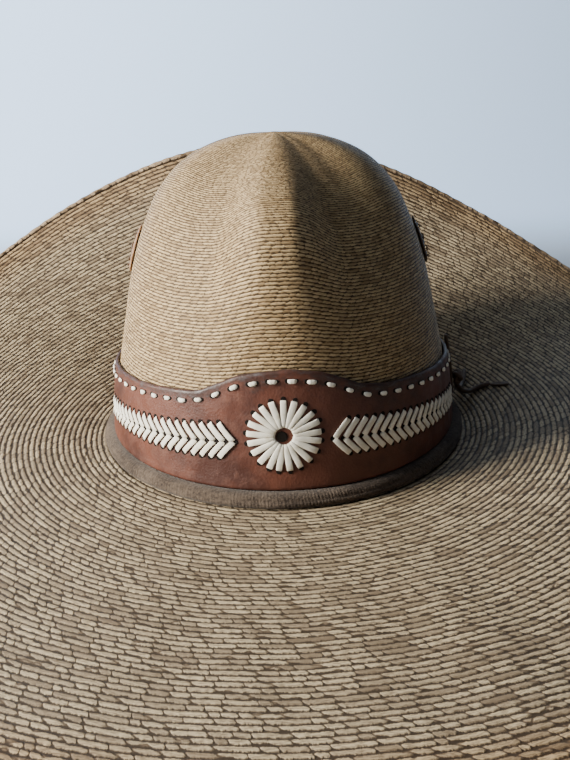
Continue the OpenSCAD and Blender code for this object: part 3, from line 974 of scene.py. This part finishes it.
def front_rosette():
    """Petals round a central hole, narrower towards it, every other one a little raised."""
    rng = np.random.default_rng(60)
    work = Builder()
    middle = (ROSETTE_R + ROSETTE_HOLE) / 2
    length = ROSETTE_R - ROSETTE_HOLE

    def narrow(t):
        r = middle + t * length / 2
        return min(1.0, 0.9 * 2 * math.pi * r / PETALS / THONG_W + 0.12)

    for i in range(PETALS):
        spoke = 90 + 360 * i / PETALS + rng.uniform(-1.2, 1.2)
        c, s = math.cos(math.radians(spoke)), math.sin(math.radians(spoke))
        reach = length * rng.uniform(0.96, 1.0)
        a, z = middle * c / float(mm_per_degree(0.0, ROSETTE_Z)), ROSETTE_Z + middle * s
        width = THONG_W * rng.uniform(0.9, 1.0)
        add_strip(work, a, z, spoke, reach, width, LACE_T * 0.85, narrow=narrow, base=0.08 + 0.08 * (i % 2))
        add_hole(holes, 0.0, ROSETTE_Z, (ROSETTE_R + 0.3) * c, (ROSETTE_R + 0.3) * s, 1.1)
    add_hole(holes, 0.0, ROSETTE_Z, -0.9, -0.3, 2.4)
    band_piece(work, "front_rosette_thongs", "front_rosette", IVORY, "ivory_thong")


def tie_strap():
    """Strap over the join in the band: curved to the wall, round-edged, narrowing upwards."""
    outline = ((-16, 5.0), (-12, 4.95), (-4, 4.75), (4, 4.3), (9, 3.2), (13, 2.1), (15.3, 1.2))
    x = np.array([-1, -0.92, -0.5, 0, 0.5, 0.92, 1, 0.92, 0.5, 0, -0.5, -0.92])
    rise = np.array([0.5, 0.92, 1, 0.97, 1, 0.92, 0.5, 0.08, 0, 0, 0, 0.08]) * STRAP_T
    work = Builder()
    rings = []
    for y, half in outline:
        rings.append(on_leather(TIE_ANGLE, 30.0, x * half, float(y), STRAP_OFF - LEATHER_OFF + rise))
    work.tube(np.array(rings)[:, ::-1])
    band_piece(work, "band_tie_strap_leather", "band_tie_strap", DARK_LEATHER, "dark_leather")


def tie_knot():
    """Overhand knot of the tie thong."""
    t = np.linspace(0, 2 * math.pi, 96, endpoint=False)
    x, y, z = np.sin(t) + 2 * np.sin(2 * t), np.cos(t) - 2 * np.cos(2 * t), -np.sin(3 * t)
    off = STRAP_OFF - LEATHER_OFF + STRAP_T + 0.3 + KNOT_R
    path = on_leather(TIE_ANGLE, 21.4, x * 1.25, y * 1.05, off + z * 1.3)
    forward = unit(np.roll(path, -1, 0) - np.roll(path, 1, 0))
    side = unit(np.cross(forward, (1.0, 0.0, 0.0)))
    up = np.cross(side, forward)
    turn = np.arange(0, 360, 36)[None, :, None]
    work = Builder()
    work.loop(path[:, None] + 1.35 * (cos(turn) * side[:, None] + sin(turn) * up[:, None]))
    band_piece(work, "band_tie_knot_thong", "band_tie_knot", DARK_LEATHER, "dark_leather")


# ---------------------------------------------------------------- patches and sweatband

def patch_point(side, r, w, off):
    """Point of a side patch at radius r and angle w. As in the CAD model, 60 stands for 180 / pi."""
    return on_crown(side * 90 + side * r * cos(w) / HALF_L * 60, PATCH_Z + r * sin(w) * 0.82, off)


def hat_piece(work, name, node, material, slot):
    settle(work.make(name, material), "hat", node, slot)


def vent_patch(side, name, node):
    """Scalloped leather patch with a raised middle and a thin edge."""
    work = Builder()
    w = np.arange(0, 360, 3.75)
    edge = PATCH_R * (1 + 0.06 * cos(8 * w))
    top = ((0.06, 2.0), (0.3, 1.95), (0.5, 1.85), (0.62, 1.6), (0.75, 1.7), (0.9, 1.55), (0.98, 1.25), (1.0, 0.9))
    bottom = ((0.98, 0.5), (0.75, 0.4), (0.4, 0.4), (0.06, 0.4))
    work.tube([patch_point(side, edge * share, w, off) for share, off in top + bottom])
    # The left patch, on the lit side, takes the pale tan leather and the right one, in shade, the dark leather: lit
    # and shaded copies of one leather, both noted as dark leather.
    hat_piece(work, name, node, DARK_LEATHER if side > 0 else TAN_LEATHER, "dark_leather")


def patch_lacing(side, name, node):
    """Eight stitches through the patch and a small open eyelet at its middle."""
    work = Builder()
    turn = np.arange(0, 360, 45)
    for i in range(8):
        w = 45 * i + 22.5
        rings = []
        for t in np.linspace(-1, 1, 9):
            ring_w = w + t * 11.5
            lift = 2.0 + 0.55 * (1 - t * t)
            across = 0.55 * math.sqrt(max(0.1, 1 - t * t * 0.8))
            r = PATCH_R * 0.72 + across * cos(turn)
            rings.append(patch_point(side, r, ring_w, lift + 0.35 * sin(turn)))
        work.tube(rings)
    hat_piece(work, name, node, DARK_LEATHER, "dark_leather")
    eyelet = Builder()
    w = np.arange(0, 360, 15)
    eyelet.loop([patch_point(side, 2.6 + 0.6 * cos(e), w, 2.05 + 0.45 * sin(e)) for e in range(0, 360, 45)])
    hat_piece(eyelet, name + "_eyelet", None, DARK_LEATHER, "dark_leather")


def sweatband():
    columns = 240
    a = around(columns)
    levels = [1.2, 1.7, 3.0, 8.0, 16.0, 24.0, 32.0, 39.0, 41.4, SWEAT_H]
    swell = [0.3, 0.05, 0, 0, 0, 0, 0, 0.05, 0.15, 0.4]
    ease = 0.35 * (wander(a, (8, 13), 70) - 1)
    outer = [on_crown(a, z, SWEAT_OFF - s) for z, s in zip(levels, swell)]
    inner = [on_crown(a, z, SWEAT_OFF - SWEAT_T + s + ease * smooth(10, 40, z) * 0.3)
             for z, s in zip(levels, swell)]
    rings = np.array(outer + inner[::-1])
    v = np.array(levels + levels[::-1])
    along = np.tile(ring_lengths(rings[3]), (len(rings), 1))
    obj = ring_mesh("sweatband_leather", rings, TAN_LEATHER, "band", (v, np.roll(v, -1)), along)
    settle(obj, "hat", "sweatband", "lining_leather")


def sweatband_stitching():
    work = Builder()
    turn = np.arange(0, 360, 45)
    for i in range(90):
        a0 = 360 * (i + 0.5) / 90
        rings = []
        for t in np.linspace(-1, 1, 7):
            a = a0 + t * 2.0 / float(mm_per_degree(a0, 4.5))
            out = SWEAT_OFF - SWEAT_T - 0.35 + 0.25 * t * t
            size = 0.4 * math.sqrt(max(0.12, 1 - t * t * 0.85))
            rings.append(on_crown(a, 4.5 + size * cos(turn), out + size * 0.6 * sin(turn)))
        work.tube(rings)
    hat_piece(work, "sweatband_stitches", "sweatband_stitching", THREAD, "thread")


def sweatband_bow():
    """Flat ribbon bow: two puffed sides and a knot."""
    work = Builder()
    off = SWEAT_OFF - SWEAT_T - 1.6
    degree = float(mm_per_degree(180.0, 10.0))
    for s in (-1, 1):
        rings = []
        for t in np.linspace(0, 1, 11):
            x = s * (1.0 + 7.8 * t)
            half = 1.0 + 2.1 * math.sin(math.pi * min(1.0, t * 0.75 + 0.02))
            puff = 0.15 + 0.42 * math.sin(math.pi * min(1.0, t + 0.02))
            turn = np.arange(0, 360, 36)[::s]
            a = 180 + x / degree
            rings.append(on_crown(a, 10 + half * sin(turn), off + puff * cos(turn)))
        work.tube(rings)
    turn = np.arange(0, 360, 36)
    work.tube([on_crown(180 + 1.5 * r * cos(turn) / degree, 10 + 1.8 * r * sin(turn), off + d)
               for r, d in ((0.3, -0.8), (0.8, -0.6), (1.0, -0.2), (0.8, 0.3), (0.3, 0.4))])
    hat_piece(work, "sweatband_bow_ribbon", "sweatband_bow", BOW, "bow_ribbon")


crown()
brim()
rim()
base_roll()
hat_band()
edge_lacing()
chevron_lacing(-1, "left_chevron_thongs", "left_chevron_lacing")
chevron_lacing(1, "right_chevron_thongs", "right_chevron_lacing")
front_rosette()
# The holes take the near-black painted shade of a deep hole.
band_piece(holes, "band_punched_holes", None, HOLE_SHADE, "dark_leather")
tie_strap()
tie_knot()
vent_patch(-1, "left_vent_patch_leather", "left_vent_patch")
vent_patch(1, "right_vent_patch_leather", "right_vent_patch")
patch_lacing(-1, "left_patch_stitches", "left_patch_lacing")
patch_lacing(1, "right_patch_stitches", "right_patch_lacing")
sweatband()
sweatband_stitching()
sweatband_bow()


# ---------------------------------------------------------------- backdrop and light

# Metres and watts in this section. GLOW is the strength of the backdrop's own light.
GLOW = 1.7
FLOOR_FROM, HALF_SHEET, COVE_Y, COVE_R, WALL_TOP = -8.0, 10.0, 0.6, 0.6, 3.0


def make_backdrop():
    """Pale sheet: floor, a curve up behind the hat, and a wall, glowing behind the hat like a bright room."""
    look = Look("backdrop_pale", 0.9, 0.1)
    place = look.node("SeparateXYZ", {0: look.object_place()}).node.outputs
    marks = look.noise(look.object_place(), 1.5, 2.0)
    look.set("Base Color", look.colour(marks, (0.46, 0.52, 0.6), (0.49, 0.55, 0.63)))
    glow = look.colour(look.ramp(place[0], -0.75, 0.8), (0.56, 0.84, 1.25), (0.17, 0.26, 0.39))
    aside = look.ramp(look.math("ABSOLUTE", place[0]), 0.9, 1.3, 1.0, 0.0)
    seen = look.math("MULTIPLY", look.math("MULTIPLY", look.ramp(place[1], 0.35, 0.7), aside),
                     look.ramp(place[2], 0.45, 0.8, 1.0, 0.0))
    look.set("Emission Color", look.colour(seen, (0.0, 0.0, 0.0), glow))
    look.shader.inputs["Emission Strength"].default_value = GLOW
    low = cad_box[0][2] - 0.0005
    profile = [(FLOOR_FROM, low), (COVE_Y, low)]
    for t in np.linspace(0.1, math.pi / 2, 16):
        profile.append((COVE_Y + COVE_R * math.sin(t), low + COVE_R * (1 - math.cos(t))))
    profile.append((COVE_Y + COVE_R, WALL_TOP))
    n = len(profile)
    mesh = bpy.data.meshes.new("backdrop")
    mesh.from_pydata([(x, y, z) for x in (-HALF_SHEET, HALF_SHEET) for y, z in profile], [],
                     [(i, n + i, n + i + 1, i + 1) for i in range(n - 1)])
    mesh.materials.append(look.material)
    mesh.shade_smooth()
    backdrop = bpy.data.objects.new("backdrop", mesh)
    bpy.context.collection.objects.link(backdrop)
    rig.stage(backdrop)


def area_light(name, place, target, size, power, colour):
    data = bpy.data.lights.new(name, "AREA")
    data.shape, data.size, data.energy, data.color = "DISK", size, power, colour
    light = bpy.data.objects.new(name, data)
    light.location = place
    light.rotation_euler = (Vector(target) - Vector(place)).to_track_quat("-Z", "Y").to_euler()
    bpy.context.collection.objects.link(light)


def make_world():
    world = bpy.data.worlds.new("world")
    world.use_nodes = True
    background = world.node_tree.nodes["Background"]
    background.inputs["Color"].default_value = (0.78, 0.86, 1.0, 1)
    background.inputs["Strength"].default_value = 0.085
    bpy.context.scene.world = world


make_backdrop()
area_light("window", (-1.12, -0.33, 0.5), (0, 0, 0.05), 0.55, 56, (1.0, 0.96, 0.87))
area_light("sky", (-0.9, -0.35, 1.25), (-0.2, 0, 0), 1.2, 5, (0.72, 0.85, 1.0))
make_world()

with open("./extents.json", "w") as size_file:
    json.dump({"cad": [list(v) for v in cad_box], "visual": [list(v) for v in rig.bounds()]}, size_file)
